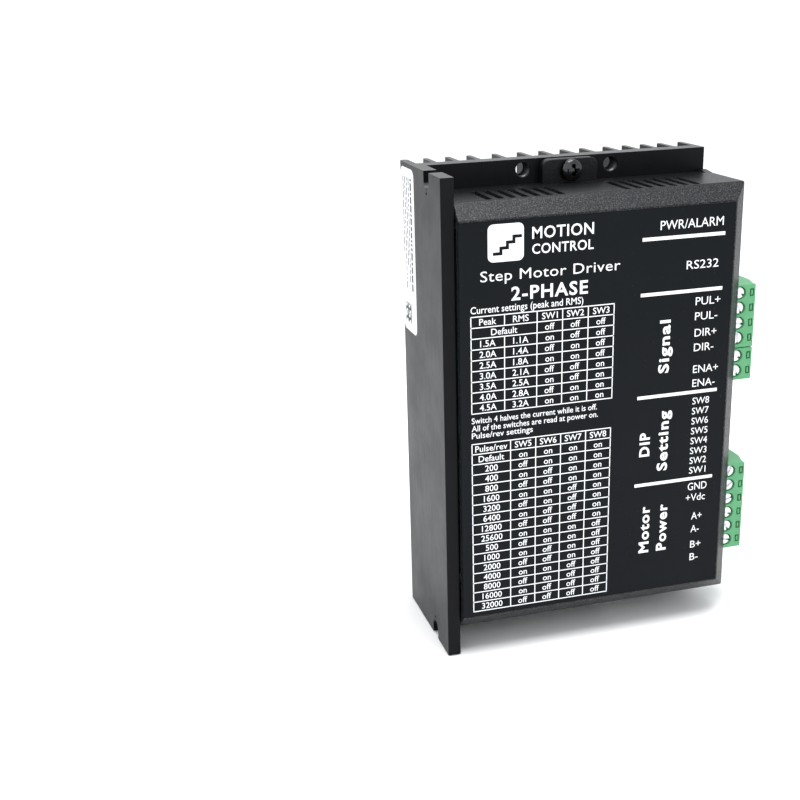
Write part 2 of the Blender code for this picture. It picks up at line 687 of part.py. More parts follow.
# ---- whole module ----------------------------------------------------------------------
def main():
    clear_scene()
    make_materials()
    frame = bpy.data.objects.new("module_frame", None)
    bpy.context.collection.objects.link(frame)
    middle_y = (COVER_FRONT + DEPTH) / 2
    frame.location = (-PLUG_WIRE_X / 2 * MM, -middle_y * MM, 0.0)

    make_heat_sink(frame)
    make_cover(frame)
    make_labels(frame)
    make_cover_screw(frame, "cover_screw_bottom", TAB_SCREW_END)
    make_cover_screw(frame, "cover_screw_top", HEIGHT - TAB_SCREW_END)
    make_board(frame)
    make_posts(frame)
    make_capacitors(frame)
    make_chips(frame)
    for kind in PLUGS:
        make_header(frame, kind)
        make_plug(frame, kind)
        make_terminal_screws(frame, kind)
        make_clamps(frame, kind)
    make_switch_bank(frame)
    make_serial_jack(frame)
    make_lamps(frame)


main()
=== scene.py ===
"""Looks of the stepper driver module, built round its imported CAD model.

Shapes are written in millimetres in the case's own coordinates, as in the part's source:
x from the side wall to the connector side, y from the wall's front edge to the fin tips,
z from the bottom end to the top end.
"""
import random
from math import cos, pi, radians, sin

import bmesh
import bpy
from mathutils import Matrix, Vector


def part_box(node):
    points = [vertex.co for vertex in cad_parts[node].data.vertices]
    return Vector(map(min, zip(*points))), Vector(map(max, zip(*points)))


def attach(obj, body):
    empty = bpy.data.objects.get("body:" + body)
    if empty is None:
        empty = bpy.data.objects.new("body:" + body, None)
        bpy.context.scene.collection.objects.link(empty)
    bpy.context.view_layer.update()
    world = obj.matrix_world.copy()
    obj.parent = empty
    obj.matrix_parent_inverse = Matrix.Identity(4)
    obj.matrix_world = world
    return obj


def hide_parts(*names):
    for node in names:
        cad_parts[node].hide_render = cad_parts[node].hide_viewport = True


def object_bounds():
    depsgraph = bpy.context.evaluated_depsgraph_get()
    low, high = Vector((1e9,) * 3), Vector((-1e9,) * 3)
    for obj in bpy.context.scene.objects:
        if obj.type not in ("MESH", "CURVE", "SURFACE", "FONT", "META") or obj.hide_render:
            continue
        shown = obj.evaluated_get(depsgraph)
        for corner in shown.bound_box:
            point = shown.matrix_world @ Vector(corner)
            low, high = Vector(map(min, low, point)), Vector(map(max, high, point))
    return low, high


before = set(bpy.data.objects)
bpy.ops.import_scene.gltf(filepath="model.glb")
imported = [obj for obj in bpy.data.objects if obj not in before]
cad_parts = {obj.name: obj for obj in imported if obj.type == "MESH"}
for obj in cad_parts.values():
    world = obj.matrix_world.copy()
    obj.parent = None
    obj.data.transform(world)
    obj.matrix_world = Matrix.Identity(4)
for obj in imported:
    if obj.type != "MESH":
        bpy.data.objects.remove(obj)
CAD_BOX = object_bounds()

MM = 0.001
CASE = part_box("heat_sink")[0]  # the case's own origin
PLANES = {"x": (1, 2, 0), "y": (0, 2, 1), "z": (0, 1, 2)}

def case_box(node):
    """A CAD node's lowest and highest corners in the case's millimetres."""
    low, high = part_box(node)
    return [(low[i] - CASE[i]) / MM for i in range(3)], [(high[i] - CASE[i]) / MM for i in range(3)]

def centre_of(node):
    return [(a + b) / 2 for a, b in zip(*case_box(node))]

# ---- sizes: the heat sink, from the CAD boxes and the part's own dimensions
WIDTH, DEPTH, HEIGHT = case_box("heat_sink")[1]
ENDS = ((0.0, 1), (HEIGHT, -1))  # each end's height, and the direction into the case
WALL_T = 3.2
PLATE_FRONT, PLATE_BACK = 21.5, 26.0
TAIL_T = 2.0  # side wall's thickness behind the plate
FIN_T = 1.3
FIN_FIRST = 5.9
FIN_PITCHES = (5.6, 5.5, 6.6, 6.6, 5.7, 5.7, 5.3, 6.4, 5.3, 5.0, 4.8)
FIN_FILLET = 0.35
CORNER_R, INNER_R = 0.3, 0.4  # the extrusion's outer and inner corners
SAWN_EDGE = 0.16  # bevel along the extrusion's edges
NOTCH_W, NOTCH_Y, NOTCH_DEPTH = 4.2, 11.0, 4.2
DIMPLE_R, DIMPLE_DEPTH, DIMPLE_PAST = 0.55, 0.5, 0.8  # punch mark past each notch
PLATE_HOLE_R = 1.9
PLATE_HOLE_X = (27.3, 50.1)
PLATE_HOLE_END = 2.5
THREAD_START, THREAD_STOP, THREAD_TURNS, THREAD_DEPTH = 0.35, 0.2, 8, 0.32
SCREW_HOLE_R, SCREW_HOLE_SKIN = 1.7, 0.8
TAB_SCREW_END = 2.9
STICKER_POCKET = 0.25  # recess that holds the side label

# ---- sizes: the cover and its labels
COVER_LEFT, COVER_FRONT = case_box("front_cover")[0][:2]
COVER_RIGHT, COVER_REAR = case_box("front_cover")[1][:2]
COVER_LOW, COVER_TOP = 6.4, 112.15
COVER_T = 1.8
COVER_CHAMFER = 3.8
COVER_EDGE = 0.3  # rounding of the cover's edges
INNER_CHAMFER_SHARE = 0.4142  # of the wall's thickness, lost by the inner bevel
LIP_RUN, LIP_RISE = 3.5, 0.45  # swelling at the cover's top rear corner
FIELD_EDGE = COVER_CHAMFER + 0.3
LABEL_RECESS = 0.6
LABEL_FACE = case_box("face_label")[0][1]
INK_T = 0.012
FACE_INK = LABEL_FACE - 0.005
TAB_X, TAB_W, TAB_T, TAB_R, TAB_END = 38.45, 14.3, 2.5, 2.0, 0.2
VENT_W, VENT_PITCH, VENT_COUNT = 1.6, 2.93, 7
VENT_GROUPS = (21.1, 55.1)
VENT_Y = (2.6, 14.8)
WINDOW_Y, WINDOW_CLEAR, WINDOW_R = (2.45, 14.3), 0.4, 0.5
SWITCH_WINDOW_Y, SWITCH_WINDOW_LAP = (5.4, 12.3), 0.9
LAMP_IN, LAMP_HOLE_R, LAMP_R = 2.2, 1.8, 1.5  # lens axis from its base's edge, hole, lens
LAMP_SEAT_X, LAMP_BASE_X = 68.0, 69.5

# ---- sizes: the terminals and switches
POLES = {"signal": 4, "enable": 2, "power": 6}
PLUG_HEAD_X, PLUG_FACE_X, PLUG_WIRE_X = 73.7, 80.9, 82.0
PLUG_Y = (2.6, 13.7)
PLUG_STEP_Y = (4.1, 7.6)
NOSE_Y, NOSE_HALF = (6.1, 12.5), 1.25
WIRE_Y, WIRE_HALF = (7.9, 12.2), 1.3
PIN_Y, PIN_HALF, PIN_TIP_X = 9.3, 0.5, 72.3
SOCKET_HALF = 0.85
SCREW_X = 76.6
SCREW_TURNS = (12, -38, 64, -70, 30, 85, -15)  # degrees; each screw was left differently
THREAD_R, THREAD_GROOVE, SHANK_TURNS = 0.85, 0.16, 9
SWITCH_COUNT = 8
TRACK_Y, TRACK_HALF, TRACK_DEPTH = (7.05, 10.65), 0.65, 1.6

# ---- shape helpers
def at(axis, u_value, v_value, w_value):
    """The point at (u, v) in the plane across axis, and at w along it."""
    u, v, w = PLANES[axis]
    point = Vector((0.0, 0.0, 0.0))
    point[u], point[v], point[w] = u_value * MM, v_value * MM, w_value * MM
    return point

def to_object(name, bm):
    bmesh.ops.recalc_face_normals(bm, faces=bm.faces)
    mesh = bpy.data.meshes.new(name)
    bm.to_mesh(mesh)
    bm.free()
    obj = bpy.data.objects.new(name, mesh)
    bpy.context.scene.collection.objects.link(obj)
    return obj

def rectangle(u0, v0, u1, v1):
    return [(u0, v0), (u1, v0), (u1, v1), (u0, v1)]

def arc(u, v, radius, first, last, steps):
    """Points from angle first to angle last, in half turns."""
    angles = [pi * (first + (last - first) * i / steps) for i in range(steps + 1)]
    return [(u + radius * cos(a), v + radius * sin(a)) for a in angles]

def circle(u, v, radius, count=40):
    return arc(u, v, radius, 0.0, 2.0, count)[:-1]

def rounded(u0, v0, u1, v1, radius, steps=6):
    corners = ((u1 - radius, v0 + radius, -0.5), (u1 - radius, v1 - radius, 0.0),
               (u0 + radius, v1 - radius, 0.5), (u0 + radius, v0 + radius, 1.0))
    return [p for u, v, a in corners for p in arc(u, v, radius, a, a + 0.5, steps)]

def prism(axis, outline, start, stop):
    bm = bmesh.new()
    face = bm.faces.new([bm.verts.new(at(axis, u, v, start)) for u, v in outline])
    grown = bmesh.ops.extrude_face_region(bm, geom=[face])
    moved = [item for item in grown["geom"] if isinstance(item, bmesh.types.BMVert)]
    bmesh.ops.translate(bm, verts=moved, vec=at(axis, 0, 0, stop - start))
    return to_object("solid", bm)

def block(low, high):
    return prism("z", rectangle(low[0], low[1], high[0], high[1]), low[2], high[2])

def lofted(rings):
    """Solid through rings of points that match one to one."""
    bm = bmesh.new()
    loops = [[bm.verts.new(point) for point in ring] for ring in rings]
    for near, far in zip(loops, loops[1:]):
        for i in range(len(near)):
            j = (i + 1) % len(near)
            bm.faces.new((near[i], near[j], far[j], far[i]))
    bm.faces.new(loops[0])
    bm.faces.new(loops[-1])
    return to_object("solid", bm)

def turned(axis, centre, profile, segments=48):
    """Round solid about axis: profile is (radius, position); radius 0 ends it in a point."""
    bm = bmesh.new()
    rings = []
    for radius, position in profile:
        if radius == 0:
            rings.append([bm.verts.new(at(axis, *centre, position))])
            continue
        points = circle(*centre, radius, segments)
        rings.append([bm.verts.new(at(axis, u, v, position)) for u, v in points])
    for near, far in zip(rings, rings[1:]):
        for i in range(segments):
            j = (i + 1) % segments
            corners = [near[i % len(near)], near[j % len(near)], far[j % len(far)], far[i % len(far)]]
            bm.faces.new(list(dict.fromkeys(corners)))
    for ring in (rings[0], rings[-1]):
        if len(ring) > 1:
            bm.faces.new(ring)
    return to_object("solid", bm)

def settle(obj):
    """Applies the object's modifiers."""
    view = bpy.context.evaluated_depsgraph_get()
    mesh = bpy.data.meshes.new_from_object(obj.evaluated_get(view))
    obj.modifiers.clear()
    obj.data = mesh
    return obj

def boolean(obj, tool, operation="DIFFERENCE"):
    modifier = obj.modifiers.new("boolean", "BOOLEAN")
    modifier.operation = operation
    modifier.solver = "EXACT"
    modifier.object = tool
    settle(obj)
    bpy.data.objects.remove(tool, do_unlink=True)
    return obj

def soften(obj, width, segments=2, angle=35):
    """Rounds every edge sharper than angle, by width in millimetres."""
    modifier = obj.modifiers.new("soften", "BEVEL")
    modifier.width = width * MM
    modifier.segments = segments
    modifier.limit_method = "ANGLE"
    modifier.angle_limit = radians(angle)
    return settle(obj)

def merged(name, objects):
    """One mesh from several objects, which are removed."""
    bm = bmesh.new()
    for obj in objects:
        bm.from_mesh(obj.data)
        bpy.data.objects.remove(obj, do_unlink=True)
    return to_object(name, bm)

def place(obj, name, material, body, nodes=(), angle=35):
    """Names a finished piece, gives it its material, ties it to its body and hides the CAD nodes it
    stands for.
    """
    obj.name = name
    obj.data.name = name
    if not obj.data.materials:
        obj.data.materials.append(None)
    obj.data.materials[0] = material
    obj.data.shade_smooth()
    obj.data.set_sharp_from_angle(angle=radians(angle))
    weights = obj.modifiers.new("flat_faces_stay_flat", "WEIGHTED_NORMAL")
    weights.keep_sharp = True
    obj.location = CASE
    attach(obj, body)
    if nodes:
        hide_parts(*nodes)

# ---- materials
class Finish:
    """A Principled material, with short calls for the nodes that give it its detail."""

    def __init__(self, name, **values):
        self.material = bpy.data.materials.new(name)
        self.material.use_nodes = True
        self.tree = self.material.node_tree
        self.shader = self.tree.nodes["Principled BSDF"]
        for socket, value in values.items():
            self.shader.inputs[socket.replace("_", " ")].default_value = value
        self.normal = None

    def node(self, kind, values=(), **settings):
        """A node of this kind: values are its sockets, and settings its properties."""
        made = self.tree.nodes.new("ShaderNode" + kind)
        for name, value in settings.items():
            setattr(made, name, value)
        for socket, value in dict(values).items():
            if isinstance(value, bpy.types.NodeSocket):
                self.tree.links.new(value, made.inputs[socket])
            else:
                made.inputs[socket].default_value = value
        return made

    def space(self, x=1.0, y=1.0, z=1.0):
        """Object coordinates, each squeezed by its factor."""
        coords = self.node("TexCoord").outputs["Object"]
        return self.node("Mapping", {"Vector": coords, "Scale": (x, y, z)}).outputs["Vector"]

    def noise(self, size, detail=2.0, rough=0.5, stretch=(1, 1, 1)):
        """Noise with features of about size millimetres."""
        values = {"Vector": self.space(*stretch), "Scale": 1 / (size * MM), "Detail": detail,
                  "Roughness": rough}
        return self.node("TexNoise", values).outputs["Fac"]

    def cells(self, size):
        """Distance from the middle of cells of about size millimetres."""
        values = {"Vector": self.space(), "Scale": 1 / (size * MM)}
        return self.node("TexVoronoi", values).outputs["Distance"]

    def span(self, value, low, high, to_low=0.0, to_high=1.0):
        """Stretches low to high of a value over to_low to to_high."""
        values = {"Value": value, "From Min": low, "From Max": high, "To Min": to_low,
                  "To Max": to_high}
        return self.node("MapRange", values).outputs["Result"]

    def math(self, operation, a, b=0.0):
        return self.node("Math", {0: a, 1: b}, operation=operation).outputs[0]

    def mix(self, factor, a, b):
        """Colour a, or a socket, where factor is 0, and colour b where it is 1."""
        made = self.node("Mix", data_type="RGBA")
        self.tree.links.new(factor, made.inputs[0])
        if isinstance(a, bpy.types.NodeSocket):
            self.tree.links.new(a, made.inputs[6])
        else:
            made.inputs[6].default_value = (*a, 1.0)
        made.inputs[7].default_value = (*b, 1.0)
        return made.outputs[2]

    def bump(self, height, depth, strength=1.0):
        """Relief of depth millimetres, on top of any relief already set."""
        values = {"Height": height, "Distance": depth * MM, "Strength": strength}
        if self.normal is not None:
            values["Normal"] = self.normal
        self.normal = self.node("Bump", values).outputs["Normal"]
        self.tree.links.new(self.normal, self.shader.inputs["Normal"])

    def colour(self, socket):
        self.tree.links.new(socket, self.shader.inputs["Base Color"])

    def rough(self, socket):
        self.tree.links.new(socket, self.shader.inputs["Roughness"])

def anodised(name, dark, light, roughness, gloss, lines):
    """Black anodised extrusion: die lines along lines, blasted grain and faint rubs."""
    finish = Finish(name, Specular_IOR_Level=gloss)
    die = finish.noise(0.28, 3.0, 0.6, lines)
    grain = finish.noise(0.07, 2.0)
    cloud = finish.noise(14.0, 4.0, 0.6)
    finish.colour(finish.mix(finish.span(cloud, 0.3, 0.75), dark, light))
    wear = finish.span(finish.math("ADD", die, cloud), 0.8, 1.25, roughness - 0.05, roughness + 0.07)
    finish.rough(wear)
    finish.bump(die, 0.007, 0.3)
    finish.bump(grain, 0.008, 0.4)
    return finish.material

def bare_aluminium():
    """Cut thread: streaks left by the tap, on a metal tone darkened as painted shade for the inside of
    the holes.
    """
    finish = Finish("bare_aluminium", Metallic=1.0)
    streak = finish.noise(0.12, 3.0, 0.6)
    finish.colour(finish.mix(streak, (0.045, 0.045, 0.05), (0.12, 0.12, 0.125)))
    finish.rough(finish.span(streak, 0.3, 0.7, 0.3, 0.5))
    finish.bump(streak, 0.01, 0.5)
    return finish.material

def grained_plastic(name, bright, depth):
    """Cover: spark-eroded grain, lighter on its peaks."""
    finish = Finish(name, Specular_IOR_Level=0.2)
    grain = finish.noise(0.2, 2.0, 0.6)
    pits = finish.cells(0.3)
    height = finish.math("ADD", grain, finish.math("MULTIPLY", pits, 0.7))
    peaks = finish.span(height, 0.8, 1.12)
    finish.colour(finish.mix(peaks, (0.002, 0.002, 0.0025), bright))
    finish.rough(finish.span(height, 0.5, 1.2, 0.46, 0.3))
    finish.bump(height, depth, 0.7)
    return finish.material

def label_film():
    """Smooth black film: faint orange peel and a few specks of dust."""
    finish = Finish("black_label_film", Specular_IOR_Level=0.09)
    peel = finish.noise(1.1, 2.0)
    cloud = finish.noise(18.0, 3.0, 0.6)
    specks = finish.span(finish.noise(0.35, 1.0), 0.76, 0.8)
    black = finish.mix(cloud, (0.0035, 0.0048, 0.0062), (0.006, 0.0075, 0.0092))
    finish.colour(finish.mix(specks, black, (0.07, 0.07, 0.075)))
    finish.rough(finish.span(cloud, 0.3, 0.7, 0.27, 0.36))
    finish.bump(peel, 0.006, 0.5)
    return finish.material

def ink(name, colour):
    finish = Finish(name, Specular_IOR_Level=0.35)
    mottle = finish.noise(0.25, 3.0, 0.6)
    shade = tuple(channel * 0.9 for channel in colour)
    finish.colour(finish.mix(mottle, shade, colour))
    finish.rough(finish.span(mottle, 0.3, 0.7, 0.45, 0.6))
    return finish.material

def paper():
    finish = Finish("white_label_paper", Specular_IOR_Level=0.45)
    fibre = finish.noise(0.4, 4.0, 0.7, (1, 1, 0.5))
    cloud = finish.noise(9.0, 2.0)
    finish.colour(finish.mix(cloud, (0.74, 0.745, 0.76), (0.84, 0.84, 0.85)))
    finish.rough(finish.span(fibre, 0.3, 0.7, 0.4, 0.55))
    finish.bump(fibre, 0.01, 0.4)
    return finish.material

def moulded(name, dark, light, roughness=0.45, depth=0.012, glow=0.0):
    """Moulded plastic: slight flow clouding, fine skin and a little light let in."""
    finish = Finish(name, Subsurface_Weight=glow, Subsurface_Scale=0.0008)
    flow = finish.noise(4.0, 3.0, 0.6)
    skin = finish.noise(0.12, 2.0)
    finish.colour(finish.mix(finish.span(flow, 0.3, 0.7), dark, light))
    finish.rough(finish.span(flow, 0.3, 0.7, roughness - 0.06, roughness + 0.06))
    finish.bump(skin, depth, 0.5)
    return finish.material

def metal(name, dark, light, roughness):
    """Plated or oxidised metal: fine grain and uneven gloss."""
    finish = Finish(name, Metallic=1.0)
    streak = finish.noise(0.15, 3.0, 0.6)
    cloud = finish.noise(1.6, 3.0, 0.6)
    finish.colour(finish.mix(finish.span(cloud, 0.3, 0.7), dark, light))
    finish.rough(finish.span(streak, 0.3, 0.7, roughness - 0.08, roughness + 0.1))
    finish.bump(streak, 0.006, 0.5)
    return finish.material

def lens(name, colour):
    finish = Finish(name, Transmission_Weight=0.55, IOR=1.5, Coat_Weight=0.3)
    haze = finish.noise(0.6, 2.0)
    deep = tuple(channel * 0.55 for channel in colour)
    finish.colour(finish.mix(haze, deep, colour))
    finish.rough(finish.span(haze, 0.3, 0.7, 0.12, 0.26))
    return finish.material

def solder_mask():
    """Circuit board: green mask over slightly raised copper tracks."""
    finish = Finish("green_solder_mask", Coat_Weight=0.25, Coat_Roughness=0.2)
    grid = {"Vector": finish.space(), "Scale": 1 / (3.2 * MM), "Mortar Size": 0.06,
            "Mortar Smooth": 0.4}
    tracks = finish.node("TexBrick", grid).outputs["Fac"]
    cloud = finish.noise(6.0, 3.0)
    green = finish.mix(cloud, (0.008, 0.07, 0.03), (0.015, 0.11, 0.05))
    finish.colour(finish.mix(tracks, green, (0.03, 0.2, 0.08)))
    finish.rough(finish.span(cloud, 0.3, 0.7, 0.28, 0.42))
    finish.bump(tracks, 0.03, 0.5)
    return finish.material

def pale_floor():
    finish = Finish("pale_floor", Specular_IOR_Level=0.2)
    cloud = finish.noise(160.0, 3.0)
    finish.colour(finish.mix(cloud, (0.93, 0.93, 0.93), (0.95, 0.95, 0.95)))
    finish.rough(finish.span(cloud, 0.3, 0.7, 0.6, 0.7))
    return finish.material

SIDE_METAL = anodised("anodised_black", (0.003, 0.0032, 0.004), (0.006, 0.0063, 0.0075), 0.33, 0.1,
                      (1, 1, 0.02))
CUT_METAL = anodised("anodised_saw_cut", (0.03, 0.031, 0.034), (0.055, 0.056, 0.06), 0.4, 0.3,
                     (0.05, 1, 1))
# The thread metal's dark tone is painted shade inside the plate holes.
BARE_METAL_SHADED = bare_aluminium()
COVER_SKIN = grained_plastic("grained_black_plastic", (0.048, 0.052, 0.058), 0.045)
# Finer grain for the cover's top and bottom faces and tabs; its darker tone is painted shade.
COVER_FINE_SHADED = grained_plastic("fine_black_plastic_painted_shade", (0.009, 0.0105, 0.012), 0.01)
FILM = label_film()
WHITE_INK = ink("white_ink", (0.93, 0.94, 0.96))
BLACK_INK = ink("black_ink", (0.03, 0.03, 0.035))
PAPER = paper()
GREEN = moulded("green_polyamide", (0.078, 0.3, 0.13), (0.1, 0.37, 0.165), 0.42, 0.015, 0.12)
BLACK_PLASTIC = moulded("black_polyester", (0.012, 0.012, 0.013), (0.022, 0.022, 0.023), 0.4)
RED_PLASTIC = moulded("red_switch_plastic", (0.42, 0.015, 0.015), (0.52, 0.025, 0.02), 0.35)
WHITE_PLASTIC = moulded("white_slider_plastic", (0.74, 0.73, 0.68), (0.84, 0.83, 0.79), 0.4)
NYLON = moulded("natural_nylon", (0.66, 0.64, 0.56), (0.75, 0.73, 0.66), 0.45, 0.01, 0.2)
SLEEVE = moulded("blue_black_sleeve", (0.01, 0.02, 0.05), (0.02, 0.035, 0.08), 0.3)
EPOXY = moulded("chip_epoxy", (0.012, 0.012, 0.013), (0.026, 0.026, 0.026), 0.55, 0.03)
PAD = moulded("silicone_pad", (0.36, 0.38, 0.42), (0.46, 0.48, 0.52), 0.7, 0.03)
ZINC = metal("bright_zinc", (0.72, 0.74, 0.77), (0.86, 0.87, 0.88), 0.26)
BLACK_SCREW = metal("black_oxide", (0.05, 0.05, 0.053), (0.085, 0.085, 0.09), 0.17)
TIN = metal("tinned_pin", (0.6, 0.6, 0.6), (0.75, 0.74, 0.72), 0.3)
GOLD = metal("gold_flash", (0.75, 0.52, 0.2), (0.85, 0.62, 0.28), 0.25)
GREEN_LENS = lens("green_lamp_lens", (0.2, 0.75, 0.25))
RED_LENS = lens("red_lamp_lens", (0.85, 0.08, 0.05))

# ---- heat sink
def fin_outline(left, right):
    """One fin from the plate round its tip and back, with a fillet at each root."""
    radius, root = (right - left) / 2, FIN_FILLET
    near = arc(right + root, PLATE_BACK + root, root, 1.5, 1.0, 4)
    tip = arc((left + right) / 2, DEPTH - radius, radius, 0.0, 1.0, 10)
    far = arc(left - root, PLATE_BACK + root, root, 0.0, -0.5, 4)
    return near + tip + far

def heat_sink_outline():
    """The extrusion's section: the end fins have a fillet on their inner side only."""
    lefts = [FIN_FIRST]
    for pitch in FIN_PITCHES:
        lefts.append(lefts[-1] + pitch)
    edge, inner, fillet_points = CORNER_R, INNER_R, 5
    points = arc(edge, edge, edge, 1.0, 1.5, 4) + arc(WALL_T - edge, edge, edge, 1.5, 2.0, 4)
    points += arc(WALL_T + inner, PLATE_FRONT - inner, inner, 1.0, 0.5, 4)
    points += arc(WIDTH - edge, PLATE_FRONT + edge, edge, -0.5, 0.0, 4)
    points += fin_outline(WIDTH - FIN_T, WIDTH)[fillet_points:]
    for left in reversed(lefts):
        points += fin_outline(left, left + FIN_T)
    return points + fin_outline(0.0, TAIL_T)[:-fillet_points]

def notch_outline(end, inward):
    """Open slot with a round bottom, cut in from one end of the side wall."""
    radius = NOTCH_W / 2
    crown = end + inward * (NOTCH_DEPTH - radius)
    outside = end - inward * NOTCH_W
    half = arc(NOTCH_Y, crown, radius, 0.0, inward, 20)
    return [(NOTCH_Y + radius, outside)] + half + [(NOTCH_Y - radius, outside)]

def side_label_outline(grow):
    """The side label's outline, grown a little all round."""
    low, high = case_box("side_label")
    edge = 0.3 + grow
    return rounded(low[1] - edge, low[2] - edge, high[1] + edge, high[2] + edge, 2.0)

def heat_sink():
    """Extrusion with its notches, holes and punch marks; its sawn ends are lighter."""
    sink = prism("z", heat_sink_outline(), 0.0, HEIGHT)
    for end, inward in ENDS:
        boolean(sink, prism("x", notch_outline(end, inward), -1.0, WALL_T + 1.0))
        for x in PLATE_HOLE_X:
            hole = circle(x, end + inward * PLATE_HOLE_END, PLATE_HOLE_R)
            boolean(sink, prism("y", hole, PLATE_FRONT - 1, PLATE_BACK + 1))
        hole = circle(TAB_X, end + inward * TAB_SCREW_END, SCREW_HOLE_R)
        boolean(sink, prism("y", hole, PLATE_FRONT - 1, PLATE_BACK - SCREW_HOLE_SKIN))
        mark = [(DIMPLE_R, -0.5), (DIMPLE_R, 0.05), (0, DIMPLE_DEPTH)]
        boolean(sink, turned("x", (NOTCH_Y, end + inward * (NOTCH_DEPTH + DIMPLE_PAST)), mark, 16))
    soften(sink, SAWN_EDGE, 2, 50)
    boolean(sink, prism("x", side_label_outline(0.02), -1.0, STICKER_POCKET))
    sink.data.materials.append(SIDE_METAL)
    sink.data.materials.append(CUT_METAL)
    for face in sink.data.polygons:
        face.material_index = 1 if abs(face.normal.z) > 0.25 else 0
    place(sink, "heat_sink_extrusion", SIDE_METAL, "case", ["heat_sink"])

def hole_threads():
    """Bare threaded liners that show in the plate's through holes; their dark tone is painted shade."""
    outer, root, crest = PLATE_HOLE_R - 0.02, PLATE_HOLE_R - 0.08, PLATE_HOLE_R - THREAD_DEPTH
    start, stop = PLATE_FRONT + THREAD_START, PLATE_BACK - THREAD_STOP
    pitch = (stop - start) / THREAD_TURNS
    profile = [(outer, start)]
    for i in range(2 * THREAD_TURNS + 1):
        profile.append((crest if i % 2 else root, start + pitch * i / 2))
    profile.append((outer, stop))
    rings = []
    for end, inward in ENDS:
        for x in PLATE_HOLE_X:
            ring = turned("y", (x, end + inward * PLATE_HOLE_END), profile, 40)
            bm = bmesh.new()
            bm.from_mesh(ring.data)
            caps = [face for face in bm.faces if len(face.verts) > 4]
            bmesh.ops.delete(bm, geom=caps, context="FACES_ONLY")
            bmesh.ops.bridge_loops(bm, edges=[edge for edge in bm.edges if edge.is_boundary])
            bm.to_mesh(ring.data)
            bm.free()
            rings.append(ring)
    place(merged("threads", rings), "plate_hole_threads", BARE_METAL_SHADED, "case")

# ---- front cover
def cover_shell(inset):
    """Bevelled box; one with an inset hollows the cover, and is open to the left and rear."""
    past = 5.0 if inset else 0.0
    left, right = COVER_LEFT - past, COVER_RIGHT - inset
    low, top = COVER_LOW + inset, COVER_TOP - inset
    front, rear = COVER_FRONT + inset, COVER_REAR + past
    chamfer = COVER_CHAMFER - inset * INNER_CHAMFER_SHARE
    sections = ((front, right - chamfer, low + chamfer, top - chamfer),
                (front + chamfer, right, low, top), (rear, right, low, top))
    return lofted([[at("y", x, z, y) for x, z in rectangle(left, z0, x1, z1)]
                   for y, x1, z0, z1 in sections])

def tab_outline(end, inward):
    """Screw tab that reaches towards one end, with two round corners at its tip."""
    left, right = TAB_X - TAB_W / 2, TAB_X + TAB_W / 2
    tip = end + inward * TAB_END
    root = end + inward * (HEIGHT - COVER_TOP + COVER_T)
    corner = tip + inward * TAB_R
    first = arc(right - TAB_R, corner, TAB_R, 0.0, -inward * 0.5, 8)
    second = arc(left + TAB_R, corner, TAB_R, -inward * 0.5, -inward, 8)
    return [(right, root)] + first + second + [(left, root)]

def side_windows():
    """Openings in the connector side, as (y range, z range)."""
    windows = []
    for lowest, highest in (("enable_plug", "signal_plug"), ("power_plug", "power_plug"),
                            ("serial_jack", "serial_jack")):
        low, high = case_box(lowest)[0][2], case_box(highest)[1][2]
        windows.append((WINDOW_Y, (low - WINDOW_CLEAR, high + WINDOW_CLEAR)))
    low, high = case_box("switch_bank")
    lap = SWITCH_WINDOW_LAP
    windows.append((SWITCH_WINDOW_Y, (low[2] + lap, high[2] - lap)))
    return windows

def vent_slots(wall):
    """All the vent slots of one end wall."""
    slots = []
    for middle in VENT_GROUPS:
        for i in range(VENT_COUNT):
            x = middle + (i - (VENT_COUNT - 1) / 2) * VENT_PITCH
            half = VENT_W / 2
            outline = rounded(x - half, VENT_Y[0], x + half, VENT_Y[1], 0.3, 3)
            slots.append(prism("z", outline, wall - 1.0, wall + COVER_T + 1.0))
    return merged("slots", slots)

